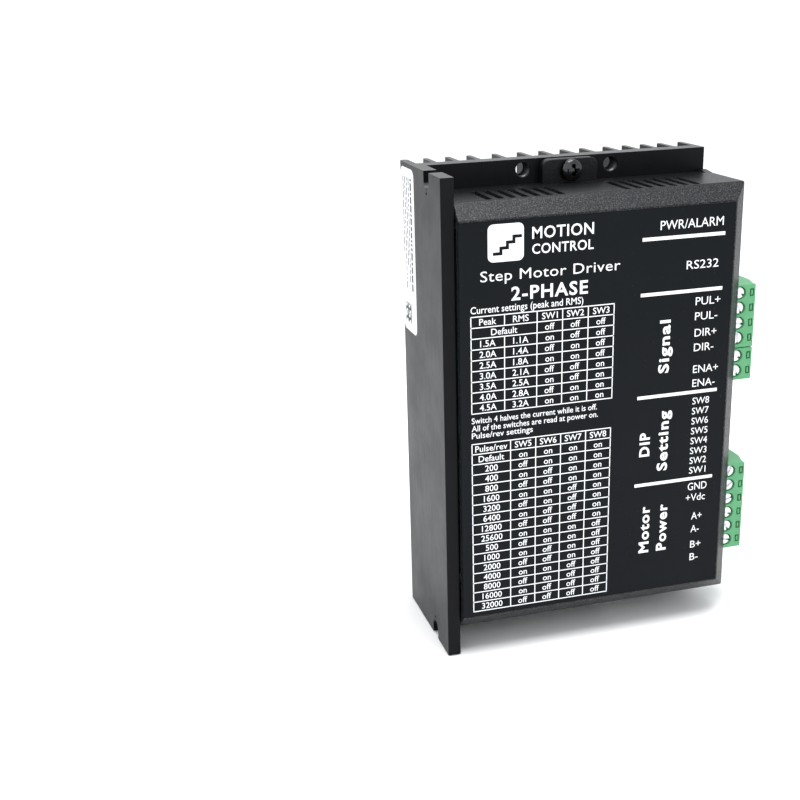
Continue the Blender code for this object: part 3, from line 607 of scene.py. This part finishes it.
def front_cover():
    """Grained shell with tabs, vents, windows and the label's recess; its ends are finer, and darker as
    painted shade.
    """
    cover = soften(cover_shell(0), COVER_EDGE, 3, 25)
    boolean(cover, cover_shell(COVER_T))
    for end, inward in ENDS:
        tab = prism("y", tab_outline(end, inward), COVER_REAR - TAB_T, COVER_REAR)
        boolean(cover, soften(tab, COVER_EDGE, 3), "UNION")
        hole = circle(TAB_X, end + inward * TAB_SCREW_END, SCREW_HOLE_R)
        boolean(cover, prism("y", hole, COVER_REAR - TAB_T - 1, COVER_REAR + 1))
        boolean(cover, vent_slots(COVER_LOW if inward > 0 else COVER_TOP - COVER_T))
    lip_start = COVER_REAR - LIP_RUN
    lip = [(lip_start, COVER_TOP - 1), (COVER_REAR, COVER_TOP - 1), (COVER_REAR, COVER_TOP + LIP_RISE),
           (lip_start, COVER_TOP)]
    boolean(cover, prism("x", lip, COVER_RIGHT - COVER_T, COVER_RIGHT - 0.1), "UNION")
    for (y0, y1), (z0, z1) in side_windows():
        window = rounded(y0, z0, y1, z1, WINDOW_R, 3)
        boolean(cover, prism("x", window, COVER_RIGHT - 5, COVER_RIGHT + 1))
    for node in ("power_lamp", "alarm_lamp"):
        hole = circle(case_box(node)[0][1] + LAMP_IN, centre_of(node)[2], LAMP_HOLE_R)
        boolean(cover, prism("x", hole, COVER_RIGHT - 4, COVER_RIGHT + 1))
    edge = FIELD_EDGE
    field = rectangle(COVER_LEFT - 1, COVER_LOW + edge, COVER_RIGHT - edge, COVER_TOP - edge)
    boolean(cover, prism("y", field, COVER_FRONT - 1, COVER_FRONT + LABEL_RECESS))
    cover.data.materials.append(COVER_SKIN)
    cover.data.materials.append(COVER_FINE_SHADED)
    # Top and bottom faces and the tabs take the finer grain, in a darker tone that is painted shade.
    for face in cover.data.polygons:
        on_tab = not COVER_LOW < face.center.z / MM < COVER_TOP
        face.material_index = 1 if on_tab or abs(face.normal.z) > 0.9 else 0
    place(cover, "front_cover_shell", COVER_SKIN, "case", ["front_cover"], 25)

# ---- printing
def face_point(u, v):
    """On the cover's label: u to the right and v up, as the case's x and z."""
    return at("y", u, v, FACE_INK)

def side_point(u, v):
    """On the side label: u along the wall from bottom to top, v towards the wall's front."""
    surface = case_box("side_label")[0][0]
    return at("x", DEPTH - v, u, surface - 0.035)

class Print:
    """Printing on one face, gathered into one thin mesh."""

    def __init__(self, point, outward):
        self.bm = bmesh.new()
        self.point = point
        self.outward = outward

    def shape(self, outline):
        self.bm.faces.new([self.bm.verts.new(self.point(u, v)) for u, v in outline])

    def bar(self, u0, v0, u1, v1):
        self.shape(rectangle(u0, v0, u1, v1))

    def words(self, text, u, v, cap, width=None, centred=False, turn=False, weight=0.0, space=1.0):
        """Letters with capitals cap high from (u, v) on their baseline; turn sets them upwards."""
        mesh = letter_mesh(text, weight, space)
        xs = [vertex.co.x for vertex in mesh.vertices]
        natural = max(xs) - min(xs)
        size = cap / CAP_HEIGHT
        wide = width / natural if width else size
        shift = -min(xs) * wide
        if centred:
            shift -= natural * wide / 2
        placed = []
        for vertex in mesh.vertices:
            along, up = vertex.co.x * wide + shift, vertex.co.y * size
            spot = (u - up, v + along) if turn else (u + along, v + up)
            placed.append(self.bm.verts.new(self.point(*spot)))
        for face in mesh.polygons:
            self.bm.faces.new([placed[i] for i in face.vertices])
        bpy.data.meshes.remove(mesh)

    def finish(self, name, material, slot):
        for face in self.bm.faces:
            face.normal_update()
            if face.normal.dot(Vector(self.outward)) < 0:
                face.normal_flip()
        grown = bmesh.ops.extrude_face_region(self.bm, geom=list(self.bm.faces))
        moved = [item for item in grown["geom"] if isinstance(item, bmesh.types.BMVert)]
        step = Vector(self.outward) * INK_T * MM
        bmesh.ops.translate(self.bm, verts=moved, vec=step)
        place(to_object(name, self.bm), name, material, "case")

def letter_mesh(text, weight=0.0, space=1.0):
    """Flat letters of size 1; weight thickens their strokes."""
    curve = bpy.data.curves.new("letters", "FONT")
    curve.body = text
    curve.size = 1.0
    curve.resolution_u = 3
    curve.offset = weight
    curve.space_character = space
    holder = bpy.data.objects.new("letters", curve)
    bpy.context.scene.collection.objects.link(holder)
    view = bpy.context.evaluated_depsgraph_get()
    mesh = bpy.data.meshes.new_from_object(holder.evaluated_get(view))
    bpy.data.objects.remove(holder, do_unlink=True)
    bpy.data.curves.remove(curve)
    return mesh

CAP_HEIGHT = max(vertex.co.y for vertex in letter_mesh("H").vertices)
ROW_H = 2.578
LINE_W = 0.24
SMALL_CAP = 1.5
SMALL_WEIGHT = 0.006
TABLE_X = 6.2
CURRENT_STOPS = (14.35, 22.3, 28.6, 35.0, 41.5)
PULSE_STOPS = (15.8, 22.15, 28.5, 34.92, 41.4)
CURRENT_TOP, PULSE_TOP = 86.35, 55.6
BAR_X, BAR_Z, BAR_HALF = (48.2, 69.4), (100.85, 87.65, 62.2, 39.4), 0.42
SWITCH_NAME_Z, SWITCH_NAME_STEP = 40.75, 2.605

def table(sheet, left, top, stops, rows):
    """Ruled table: stops are the column lines, and a row is a list of (text, columns)."""
    bottom = top - ROW_H * len(rows)
    half = LINE_W / 2
    for i in range(len(rows) + 1):
        z = top - i * ROW_H
        sheet.bar(left - half, z - half, stops[-1] + half, z + half)
    edges = [left] + list(stops)
    for i, row in enumerate(rows):
        z = top - (i + 1) * ROW_H
        column = 0
        for text, columns in row:
            start, stop = edges[column], edges[column + columns]
            middle, baseline = (start + stop) / 2, z + (ROW_H - SMALL_CAP) / 2
            sheet.words(text, middle, baseline, SMALL_CAP, centred=True, weight=SMALL_WEIGHT)
            column += columns
            if column < len(edges) - 1:
                sheet.bar(stop - half, z + half, stop + half, z + ROW_H - half)
    for x in (left, stops[-1]):
        sheet.bar(x - half, bottom, x + half, top)

def on_off(pattern, count):
    """Switch settings of one row: bit i of pattern sets switch i to on."""
    return [("on" if pattern >> i & 1 else "off", 1) for i in range(count)]

def current_table():
    """Generic current settings: steps of half an ampere, effective value beside the peak."""
    rows = [[("Peak", 1), ("RMS", 1)] + [(f"SW{i}", 1) for i in (1, 2, 3)]]
    rows.append([("Default", 2)] + on_off(0, 3))
    for step in range(1, 8):
        peak = 1.0 + 0.5 * step
        rows.append([(f"{peak:.1f}A", 1), (f"{peak / 1.414:.1f}A", 1)] + on_off(step, 3))
    return rows

def pulse_table():
    """Generic step settings: doublings of 200 and of 500 pulses per turn."""
    rows = [[("Pulse/rev", 1)] + [(f"SW{i}", 1) for i in (5, 6, 7, 8)]]
    steps = [200 * 2 ** i for i in range(8)] + [500 * 2 ** i for i in range(7)]
    for number, step in enumerate(["Default"] + steps):
        rows.append([(str(step), 1)] + on_off(15 - number, 4))
    return rows

def settings_printing():
    """Two tables of switch settings with generic captions: (words, height, width, capitals)."""
    tables = Print(face_point, (0, -1, 0))
    table(tables, TABLE_X + 0.05, CURRENT_TOP, CURRENT_STOPS, current_table())
    table(tables, TABLE_X, PULSE_TOP, PULSE_STOPS, pulse_table())
    captions = (("Current settings (peak and RMS)", 87.1, 27.5, 1.6),
                ("Switch 4 halves the current while it is off.", 60.7, 31.5, 1.4),
                ("All of the switches are read at power on.", 58.8, 31.8, 1.4),
                ("Pulse/rev settings", 57.0, 15.2, 1.4))
    for text, z, width, cap in captions:
        tables.words(text, TABLE_X, z, cap, width, weight=SMALL_WEIGHT)
    tables.finish("settings_print", WHITE_INK, "paper_label")

def legend_printing():
    """Bars, terminal and switch names, and headings: (words, x, z, capitals, width)."""
    legends = Print(face_point, (0, -1, 0))
    for z in BAR_Z:
        legends.bar(BAR_X[0], z - BAR_HALF, BAR_X[1], z + BAR_HALF)
    names = (("PWR/ALARM", 52.65, 102.8, 2.1, 16.2), ("RS232", 59.75, 92.95, 2.0, 8.3),
             ("PUL+", 62.55, 84.0, 1.9, 6.5), ("PUL-", 62.55, 80.3, 1.9, 5.9),
             ("DIR+", 62.65, 76.2, 1.9, 5.8), ("DIR-", 62.65, 72.55, 1.9, 5.2),
             ("ENA+", 62.7, 67.05, 1.9, 6.7), ("ENA-", 62.7, 63.5, 1.9, 6.0),
             ("GND", 62.8, 36.25, 1.95, 5.2), ("+Vdc", 62.4, 33.3, 1.9, 5.3),
             ("A+", 64.15, 28.15, 1.9, 2.9), ("A-", 64.15, 24.6, 1.9, 2.3),
             ("B+", 64.25, 20.3, 1.9, 2.9), ("B-", 64.25, 16.8, 1.9, 2.3))
    for text, x, z, cap, width in names:
        legends.words(text, x, z, cap, width)
    for i in range(SWITCH_COUNT):
        z = SWITCH_NAME_Z + SWITCH_NAME_STEP * i
        legends.words(f"SW{i + 1}", 62.95, z, 1.7, 4.5)
    groups = (("Signal", 56.1, 67.9, 2.55, 13.2), ("DIP", 51.8, 46.9, 2.5, 6.2),
              ("Setting", 56.7, 42.6, 2.55, 15.6),
              ("Motor", 52.5, 20.9, 2.5, 12.6), ("Power", 57.3, 20.9, 2.5, 12.6))
    for text, x, z, cap, width in groups:
        legends.words(text, x, z, cap, width, turn=True, weight=0.03, space=1.16)
    legends.finish("legend_print", WHITE_INK, "paper_label")

def title_printing():
    """Generic words that say what the device is."""
    title = Print(face_point, (0, -1, 0))
    title.words("Step Motor Driver", 8.6, 94.3, 2.4, 34.2, space=1.05)
    title.words("2-PHASE", 16.0, 89.5, 3.0, 18.8, weight=0.022, space=1.14)
    title.words("MOTION", 21.0, 103.3, 2.6, 15.0, weight=0.014, space=1.08)
    title.words("CONTROL", 21.0, 99.8, 2.2, 15.0, weight=0.014, space=1.08)
    title.finish("title_print", WHITE_INK, "paper_label")

def badge():
    """Generic badge: a rounded plate with a staircase wave cut into it."""
    left, low, size, corner = 10.4, 98.6, 8.6, 1.3
    plate = prism("y", rounded(left, low, left + size, low + size, corner), FACE_INK - INK_T, FACE_INK)
    steps, line, margin = 4, 0.75, 1.2
    run = (size - 2 * margin) / steps
    rise = run * 0.8
    lower, upper = [], []
    for i in range(steps):
        x, z = left + margin + i * run, low + 1.5 + i * rise
        lower += [(x + line * (i > 0), z), (x + run + line, z)]
        upper += [(x, z + line), (x + run, z + line)]
    stair = lower + [(lower[-1][0], upper[-1][1])] + upper[::-1]
    cutter = prism("y", stair, FACE_INK - 1, FACE_INK + 1)
    place(boolean(plate, cutter), "badge_print", WHITE_INK, "case")

def face_label():
    edge = FIELD_EDGE + 0.03
    outline = rounded(COVER_LEFT + 0.05, COVER_LOW + edge, COVER_RIGHT - edge, COVER_TOP - edge, 0.4, 3)
    film = prism("y", outline, LABEL_FACE, COVER_FRONT + LABEL_RECESS - 0.02)
    place(film, "face_label_film", FILM, "case", ["face_label"])

def side_label():
    """Sticker with rows of dashes in place of words, and a block of squares with no meaning."""
    low, high = case_box("side_label")
    label = prism("x", side_label_outline(0.0), low[0] - 0.03, STICKER_POCKET - 0.01)
    place(soften(label, 0.03, 1), "side_label_sticker", PAPER, "case", ["side_label"])
    marks = Print(side_point, (-1, 0, 0))
    margin, first_row, row_step = 2.0, 2.6, 1.55
    start, stop = low[2] + margin, high[2] - margin
    dice = random.Random(5)
    rows = ((0.5, 0.5), (0.75, 0.5), (0.6, 0.5), (0.68, 0.5), (0.72, 1.1))
    for row, (share, tall) in enumerate(rows):
        v, u = first_row + row * row_step, stop
        while u > stop - (stop - start) * share:
            dash = dice.uniform(0.5, 1.9)
            marks.bar(u - dash, v, u, v + tall)
            u -= dash + 0.45
    squares, cell = 8, 0.62
    for i in range(squares):
        for j in range(squares):
            if (i * 5 + j * 3 + i * j) % 4 < 2:
                u, v = start + i * cell, first_row + j * cell
                marks.bar(u, v, u + cell * 0.98, v + cell * 0.98)
    marks.finish("side_label_print", BLACK_INK, "paper_label")

# ---- screws
def cover_screw(node):
    """Domed pan-head screw with a tapered cross recess."""
    low, high = case_box(node)
    middle_x, _, middle_z = centre_of(node)
    radius, shank = (high[0] - low[0]) / 2, 1.4
    top, seat, steps = low[1], low[1] + 1.9, 9
    angles = [pi / 2 * i / steps for i in range(steps + 1)]
    dome = [(radius * sin(angle), top + 1.0 - cos(angle)) for angle in angles]
    profile = dome + [(radius, seat - 0.1), (radius - 0.1, seat), (shank, seat), (shank, high[1])]
    screw = turned("y", (middle_x, middle_z), profile)
    mouth = (top - 0.5, 2.09, 0.57)
    floor = (top + 1.35, 0.7, 0.34)
    for upright in (False, True):
        rings = []
        for y, long, short in (mouth, floor):
            u, v = (short, long) if upright else (long, short)
            corners = rectangle(middle_x - u, middle_z - v, middle_x + u, middle_z + v)
            rings.append([at("y", x, z, y) for x, z in corners])
        boolean(screw, lofted(rings))
    place(screw, f"{node}_detail", BLACK_SCREW, "case", [node], 40)

def terminal_screw(kind, number):
    """Slotted screw: bevelled head, thread on the shank."""
    node = f"{kind}_screw_{number}"
    low, high = case_box(node)
    middle_x, _, middle_z = centre_of(node)
    radius, top, tip = (high[0] - low[0]) / 2, low[1], high[1]
    seat = top + 1.6
    profile = [(radius * 0.5, top), (radius - 0.2, top + 0.03), (radius - 0.05, top + 0.12),
               (radius, top + 0.3), (radius, seat), (THREAD_R - 0.1, seat)]
    pitch = (tip - 0.3 - seat) / SHANK_TURNS
    for i in range(2 * SHANK_TURNS):
        thread = THREAD_R - THREAD_GROOVE * (i % 2)
        profile.append((thread, seat + 0.1 + pitch * i / 2))
    profile.append((THREAD_R - 0.3, tip))
    screw = turned("y", (middle_x, middle_z), profile, 36)
    slot_half, slot_depth = 0.27, 0.75
    slot = block((-3, top - 1, -slot_half), (3, top + slot_depth, slot_half))
    angle = SCREW_TURNS[(number * 5 + len(kind)) % len(SCREW_TURNS)]
    slot.data.transform(Matrix.Rotation(radians(angle), 4, "Y"))
    slot.data.transform(Matrix.Translation(at("y", middle_x, middle_z, 0)))
    boolean(screw, slot)
    place(screw, f"{node}_detail", ZINC, node, [node], 30)

# ---- pluggable terminals
def pole_heights(kind):
    """Heights of a terminal's ways, from the top one down."""
    return [centre_of(f"{kind}_screw_{number}")[2] for number in range(1, POLES[kind] + 1)]

def plug(kind):
    """Plug housing: screw wells, test slots, wire funnels, keyed nose."""
    low, high = case_box(f"{kind}_plug")
    poles = pole_heights(kind)
    head = [(PLUG_HEAD_X, PLUG_Y[0]), (PLUG_FACE_X, PLUG_Y[0]), (PLUG_FACE_X, PLUG_STEP_Y[0]),
            (PLUG_WIRE_X, PLUG_STEP_Y[1]), (PLUG_WIRE_X, PLUG_Y[1]), (PLUG_HEAD_X, PLUG_Y[1])]
    body = soften(prism("z", head, low[2] - 0.08, high[2] + 0.08), 0.14, 2)
    nose = block((low[0], NOSE_Y[0], poles[-1] - NOSE_HALF),
                 (PLUG_HEAD_X + 0.5, NOSE_Y[1], poles[0] + NOSE_HALF))
    boolean(body, soften(nose, 0.2, 2), "UNION")
    wells = []
    for z in poles:
        wells.append(clamp_well(z))
        wells.append(block((low[0] - 1, PIN_Y - SOCKET_HALF, z - SOCKET_HALF),
                           (73.0, PIN_Y + SOCKET_HALF, z + SOCKET_HALF)))
        wells.append(test_slot(z))
        wells.append(wire_funnel(z))
    for tool in wells:
        boolean(body, tool)
    place(body, f"{kind}_plug_housing", GREEN, f"{kind}_plug", [f"{kind}_plug"])

def clamp_well(z):
    """Hollow for one way: the cage's well, the wire hole and the screw's bore with its rim."""
    well = block((74.5, 4.75, z - 1.55), (79.1, 13.0, z + 1.55))
    wire_hole = block((78.1, WIRE_Y[0], z - WIRE_HALF), (PLUG_WIRE_X + 1, WIRE_Y[1], z + WIRE_HALF))
    boolean(well, wire_hole, "UNION")
    boolean(well, prism("y", circle(SCREW_X, z, 1.65), PLUG_Y[0] - 1, 5.75), "UNION")
    rim = turned("y", (SCREW_X, z), [(1.85, PLUG_Y[0] - 0.2), (1.6, PLUG_Y[0] + 0.2)], 40)
    return boolean(well, rim, "UNION")

def test_slot(z):
    """Groove round the test point beside one screw."""
    face = PLUG_Y[0]
    groove = prism("y", rounded(79.3, z - 0.98, 80.45, z + 0.98, 0.15, 2), face - 1, face + 0.6)
    return boolean(groove, block((79.68, face - 2, z - 0.6), (80.1, face + 1, z + 0.6)))

def wire_funnel(z):
    """Tapered mouth of one wire hole."""
    rings = []
    for x, grow in ((PLUG_WIRE_X + 0.1, 0.42), (PLUG_WIRE_X - 0.9, 0.0)):
        half = WIRE_HALF + grow
        corners = rectangle(WIRE_Y[0] - grow * 0.4, z - half, WIRE_Y[1] + grow, z + half)
        rings.append([at("x", y, up, x) for y, up in corners])
    return lofted(rings)

def plug_contacts(kind):
    """Tinned strips that reach from each clamp to its pin's socket."""
    bend_x, strips = 74.4, []
    for z in pole_heights(kind):
        spring = block((67.0, 10.05, z - 0.7), (bend_x, 10.2, z + 0.7))
        tongue = block((bend_x, 9.15, z - 0.95), (78.6, 9.4, z + 0.95))
        strips.append(soften(spring, 0.03, 1))
        strips.append(soften(tongue, 0.05, 1))
    place(merged("strips", strips), f"{kind}_plug_contacts", TIN, f"{kind}_plug")

def clamp(kind, number):
    """Clamp cage: ring of plated strip with a hole for its screw."""
    node = f"{kind}_clamp_{number}"
    low, high = case_box(node)
    middle = centre_of(node)[2]
    cage = soften(block(low, high), 0.25, 3)
    inner = rounded(low[1] + 0.95, middle - 1.0, high[1] - 0.4, middle + 1.0, 0.2, 3)
    boolean(cage, prism("x", inner, low[0] - 1, high[0] + 1))
    boolean(cage, prism("y", circle(SCREW_X, middle, 1.0, 32), low[1] - 1, low[1] + 1.95))
    place(cage, f"{node}_cage", ZINC, node, [node])

def header(kind):
    """Shroud with key slots in its front wall, and its square pins as separate metal."""
    low, high = case_box(f"{kind}_header")
    shroud = soften(block(low, high), 0.15, 2)
    wall = 0.8
    hollow = block((low[0] + 1.2, low[1] + wall, low[2] + wall),
                   (high[0] + 1, high[1] - wall, high[2] - wall))
    boolean(shroud, hollow)
    for z in pole_heights(kind):
        key = block((low[0] + 4.5, low[1] - 1, z - 0.8), (high[0] + 1, low[1] + wall + 0.2, z + 0.8))
        boolean(shroud, key)
    place(shroud, f"{kind}_header_shroud", GREEN, "case", [f"{kind}_header"])
    pins = []
    for z in pole_heights(kind):
        pin = block((low[0] + 0.6, PIN_Y - PIN_HALF, z - PIN_HALF),
                    (PIN_TIP_X, PIN_Y + PIN_HALF, z + PIN_HALF))
        pins.append(soften(pin, 0.22, 2))
    place(merged("pins", pins), f"{kind}_header_pins", TIN, "case")

# ---- switch bank, jack and lamps
def switch_bank():
    """Housing with a track for each slider, and its printed numbers."""
    low, high = case_box("switch_bank")
    bank = soften(block(low, high), 0.2, 2)
    marks = Print(lambda u, v: at("x", u, v, high[0] + 0.004), (1, 0, 0))
    for number in range(1, SWITCH_COUNT + 1):
        z = centre_of(f"switch_slider_{number}")[2]
        track = rounded(TRACK_Y[0], z - TRACK_HALF, TRACK_Y[1], z + TRACK_HALF, 0.12, 2)
        boolean(bank, prism("x", track, high[0] - TRACK_DEPTH, high[0] + 1))
        marks.words(str(number), 11.5, z - 0.45, 0.95, centred=True)
    marks.words("ON", 6.25, centre_of("switch_bank")[2] - 0.45, 0.8, 1.15, centred=True)
    place(bank, "switch_bank_housing", RED_PLASTIC, "case", ["switch_bank"])
    marks.finish("switch_bank_print", WHITE_INK, "white_plastic")

def switch_slider(number):
    """Slider with a groove across its face."""
    node = f"switch_slider_{number}"
    low, high = case_box(node)
    slider = soften(block(low, high), 0.12, 2)
    middle = centre_of(node)[1]
    groove = block((high[0] - 0.18, middle - 0.15, low[2] - 1), (high[0] + 1, middle + 0.15, high[2] + 1))
    boolean(slider, groove)
    place(slider, f"{node}_knob", WHITE_PLASTIC, node, [node])

def serial_jack():
    """Modular jack: stepped socket and six gilt contact wires."""
    low, high = case_box("serial_jack")
    jack = soften(block(low, high), 0.25, 2)
    mouth, middle = high[0], centre_of("serial_jack")[2]
    steps = [(4.95, 4.0), (4.95, 10.6), (3.1, 10.6), (3.1, 11.6), (1.7, 11.6), (1.7, 12.7)]
    right = [(y, middle + half) for half, y in steps]
    left = [(y, middle - half) for half, y in reversed(steps)]
    boolean(jack, prism("x", right + left, mouth - 11.0, mouth + 1))
    place(jack, "serial_jack_housing", BLACK_PLASTIC, "case", ["serial_jack"])
    wires, ways, pitch, half = [], 6, 1.02, 0.2
    bent = [(mouth - 10.9, 4.05), (mouth - 2.6, 4.05), (mouth - 2.2, 4.3), (mouth - 9.6, 6.9),
            (mouth - 10.2, 6.9), (mouth - 4.2, 4.5), (mouth - 10.9, 4.5)]
    for i in range(ways):
        z = middle + (i - (ways - 1) / 2) * pitch
        wires.append(prism("z", bent, z - half, z + half))
    place(merged("wires", wires), "serial_jack_contacts", GOLD, "case")

def lamp(node, material):
    """Lamp: tinted round-nosed lens in a black base."""
    low, high = case_box(node)
    axis = (low[1] + LAMP_IN, centre_of(node)[2])
    tip, steps = high[0], 8
    angles = [pi / 2 * i / steps for i in range(steps)]
    nose = [(LAMP_R * cos(angle), tip - LAMP_R + LAMP_R * sin(angle)) for angle in angles]
    dome = turned("x", axis, [(LAMP_R, LAMP_SEAT_X)] + nose + [(0, tip)], 40)
    place(dome, f"{node}_lens", material, "case", [node])
    base = soften(block(low, (LAMP_BASE_X, high[1], high[2])), 0.15, 2)
    place(base, f"{node}_base", BLACK_PLASTIC, "case")

# ---- inside the cover
def inside():
    """Pieces that show through the vents and windows keep their CAD shape."""
    coats = {"circuit_board": solder_mask(), "processor_chip": EPOXY, "thermal_pad": PAD,
             "phase_a_power_stage": EPOXY, "phase_b_power_stage": EPOXY,
             "bulk_capacitor_1": SLEEVE, "bulk_capacitor_2": SLEEVE}
    coats.update({f"board_post_{i}": NYLON for i in range(1, 5)})
    for node, material in coats.items():
        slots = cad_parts[node].data.materials
        if not slots:
            slots.append(None)
        slots[0] = material

def board_parts():
    """Rows of small resistors and capacitors soldered to the board's front."""
    face = case_box("circuit_board")[0][1]
    rows, columns, length, end_w = 3, 11, 1.5, 0.28
    bodies, ends = [], []
    for row in range(rows):
        for i in range(columns):
            x, z = 10.0 + i * 4.3 + row * 1.1, 101.5 - row * 3.6
            if row > 0 and x > 45:  # this corner of the board is left clear
                continue
            bodies.append(block((x, face - 0.75, z), (x + length, face - 0.02, z + 1.1)))
            for end in (x - end_w, x + length):
                ends.append(block((end, face - 0.78, z - 0.02), (end + end_w, face - 0.02, z + 1.12)))
    place(merged("bodies", bodies), "board_small_parts", EPOXY, "case")
    place(merged("ends", ends), "board_solder_ends", TIN, "case")

# ---- studio
def softbox(name, spot, aim, size, power):
    """Square light at spot that looks at aim."""
    light = bpy.data.lights.new(name, "AREA")
    light.shape = "SQUARE"
    light.size = size
    light.energy = power
    holder = bpy.data.objects.new(name, light)
    holder.location = spot
    holder.rotation_euler = (Vector(aim) - Vector(spot)).to_track_quat("-Z", "Y").to_euler()
    bpy.context.scene.collection.objects.link(holder)

def studio():
    """Even white surroundings, a white floor and two softboxes, in metres and watts."""
    world = bpy.data.worlds.new("studio")
    bpy.context.scene.world = world
    world.use_nodes = True
    back = world.node_tree.nodes["Background"]
    back.inputs["Color"].default_value = (0.96, 0.985, 1.0, 1.0)
    back.inputs["Strength"].default_value = 1.14

    bm = bmesh.new()
    bmesh.ops.create_grid(bm, x_segments=1, y_segments=1, size=20.0)
    floor = to_object("floor", bm)
    floor.location.z = CAD_BOX[0].z - 0.0003
    floor.data.materials.append(pale_floor())

    softbox("overhead", (0.02, -0.16, 0.85), (0, 0, 0.08), 0.45, 6.0)
    softbox("left", (-0.7, 0.5, 0.5), (0, 0, 0.06), 0.5, 1.2)
    bpy.context.scene.view_settings.view_transform = "Standard"

def camera():
    """The photographer's place: left of the module's front and a little above it."""
    data = bpy.data.cameras.new("camera")
    data.sensor_width = 36.0
    data.lens = 55.69
    data.clip_start, data.clip_end = 0.01, 20.0
    viewer = bpy.data.objects.new("camera", data)
    viewer.location = CASE + Vector((-78.77, -260.26, 157.64)) * MM
    viewer.rotation_mode = "XYZ"
    viewer.rotation_euler = (radians(71.598), radians(1.647), radians(-15.239))
    bpy.context.scene.collection.objects.link(viewer)
    bpy.context.scene.camera = viewer

# ---- the whole module
camera()
studio()
heat_sink()
hole_threads()
front_cover()
face_label()
settings_printing()
legend_printing()
title_printing()
badge()
side_label()
cover_screw("cover_screw_top")
cover_screw("cover_screw_bottom")
for plug_kind, count in POLES.items():
    plug(plug_kind)
    plug_contacts(plug_kind)
    header(plug_kind)
    for pole in range(1, count + 1):
        terminal_screw(plug_kind, pole)
        clamp(plug_kind, pole)
switch_bank()
for switch in range(1, SWITCH_COUNT + 1):
    switch_slider(switch)
serial_jack()
lamp("power_lamp", GREEN_LENS)
lamp("alarm_lamp", RED_LENS)
inside()
board_parts()
